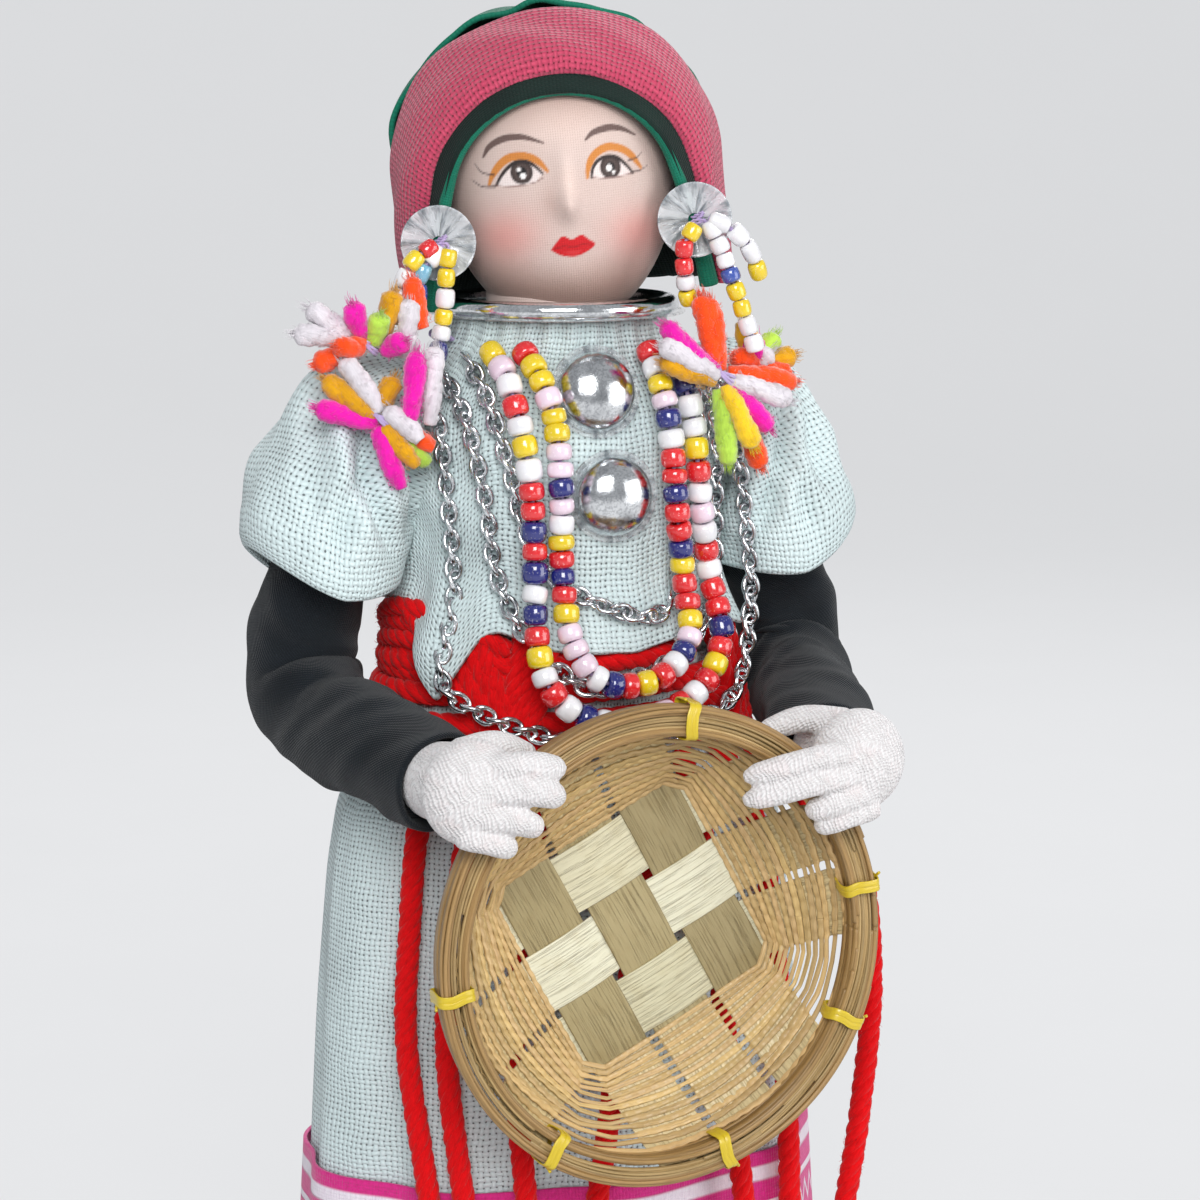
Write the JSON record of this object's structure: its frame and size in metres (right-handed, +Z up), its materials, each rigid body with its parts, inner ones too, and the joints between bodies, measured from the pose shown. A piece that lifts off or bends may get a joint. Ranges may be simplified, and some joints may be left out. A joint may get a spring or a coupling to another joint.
{
  "type": "doll",
  "caption": "Standing cloth doll in a long gauze dress and hood, with bead necklaces, chains and tasselled earrings, holding a round bamboo tray, on a round wooden base",
  "frame": {"origin": "centre of the underside of the round wooden stand", "axes": "Z up, the doll faces -Y, its right arm is on the -X side"},
  "size_m": [0.0935, 0.0932, 0.2276],
  "materials": {
    "dark_wood": "dark stained and varnished turned wood",
    "steel_wire": "plain drawn wire, hidden inside the cloth",
    "black_cloth": "black fine cotton cloth, stuffed",
    "peach_cloth": "peach cotton cloth, painted face",
    "white_gauze": "off-white open-weave cotton gauze",
    "body_cloth": "plain white cotton, stuffed, under the dress",
    "pink_band": "magenta cloth band with silver-white lines and zigzag stitching",
    "red_yarn": "bright red two-ply acrylic yarn",
    "crimson_weave": "crimson coarse open-weave cloth",
    "green_cloth": "green cloth with a slight sheen",
    "dark_green_cloth": "dark green lining cloth",
    "silver_sheet": "silvered pressed plastic sheet with a clear flange",
    "chain_metal": "bright plated curb chain",
    "clear_plastic": "clear cupped plastic disc",
    "red_beads": "glossy barrel beads, red among other colours",
    "white_beads": "glossy barrel beads, white among other colours",
    "yellow_beads": "glossy barrel beads, yellow among other colours",
    "pink_yarn": "soft bright yarn ends, mostly pink",
    "orange_yarn": "soft bright yarn ends, mostly orange",
    "thread": "lilac cotton thread",
    "hand_cloth": "white knit cloth, wrapped and stuffed",
    "bamboo": "split bamboo, pale, with brown shadows",
    "yellow_tie": "yellow plastic strip ties"
  },
  "bodies": {
    "root": {"stand_base": "dark_wood", "right_leg_wire": "steel_wire", "left_leg_wire": "steel_wire", "shoulder_wire": "steel_wire", "spine_wire": "steel_wire", "right_leg": "black_cloth", "left_leg": "black_cloth", "right_undersleeve": "black_cloth", "left_undersleeve": "black_cloth", "neck_post": "peach_cloth", "head": "peach_cloth", "bodice": "white_gauze", "skirt": "white_gauze", "right_sleeve": "white_gauze", "left_sleeve": "white_gauze", "torso": "body_cloth", "hem_band": "pink_band", "sash_winding": "red_yarn", "sash_tail_1": "red_yarn", "sash_tail_2": "red_yarn", "sash_tail_3": "red_yarn", "sash_tail_4": "red_yarn", "sash_tail_5": "red_yarn", "sash_tail_6": "red_yarn", "sash_tail_7": "red_yarn", "hood_band": "crimson_weave", "hood_cap": "green_cloth", "hood_lining": "dark_green_cloth", "neck_ring": "silver_sheet", "upper_dome": "silver_sheet", "lower_dome": "silver_sheet", "chain_1": "chain_metal", "chain_2": "chain_metal", "chain_3": "chain_metal", "right_ear_disc": "clear_plastic", "left_ear_disc": "clear_plastic", "necklace_thread": "thread"},
    "forearms": {"right_forearm": "black_cloth", "left_forearm": "black_cloth", "right_forearm_wire": "steel_wire", "left_forearm_wire": "steel_wire", "right_hand": "hand_cloth", "left_hand": "hand_cloth"},
    "tray": {"tray_bowl": "bamboo", "tray_outer_hoop": "bamboo", "tray_inner_hoop": "bamboo", "tray_tie_1": "yellow_tie", "tray_tie_2": "yellow_tie", "tray_tie_3": "yellow_tie", "tray_tie_4": "yellow_tie", "tray_tie_5": "yellow_tie", "tray_tie_6": "yellow_tie"},
    "right_earring": {"right_ear_beads": "white_beads", "right_tassel_upper": "pink_yarn", "right_tassel_lower": "orange_yarn"},
    "left_earring": {"left_ear_beads": "yellow_beads", "left_tassel_upper": "pink_yarn", "left_tassel_lower": "orange_yarn"},
    "necklace": {"inner_bead_strand": "red_beads", "outer_bead_strand": "white_beads"}
  },
  "joints": [
    {"name": "elbow_bend", "type": "hinge", "parent": "root", "child": "forearms", "pos_m": [0, 0.003, 0.13], "axis": [-1, 0, 0], "range_deg": [0, 12]},
    {"name": "tray_tilt", "type": "hinge", "parent": "forearms", "child": "tray", "pos_m": [0, -0.04392, 0.12177], "axis": [-1, 0, 0], "range_deg": [0, 8]},
    {"name": "right_earring_swing", "type": "hinge", "parent": "root", "child": "right_earring", "pos_m": [-0.02034, -0.00811, 0.19415], "axis": [-1, 0, 0], "range_deg": [0, 15]},
    {"name": "left_earring_swing", "type": "hinge", "parent": "root", "child": "left_earring", "pos_m": [0.01451, -0.0181, 0.19732], "axis": [-1, 0, 0], "range_deg": [0, 15]},
    {"name": "necklace_swing", "type": "hinge", "parent": "root", "child": "necklace", "pos_m": [0, -0.0145, 0.18], "axis": [-1, 0, 0], "range_deg": [0, 4]}
  ]
}
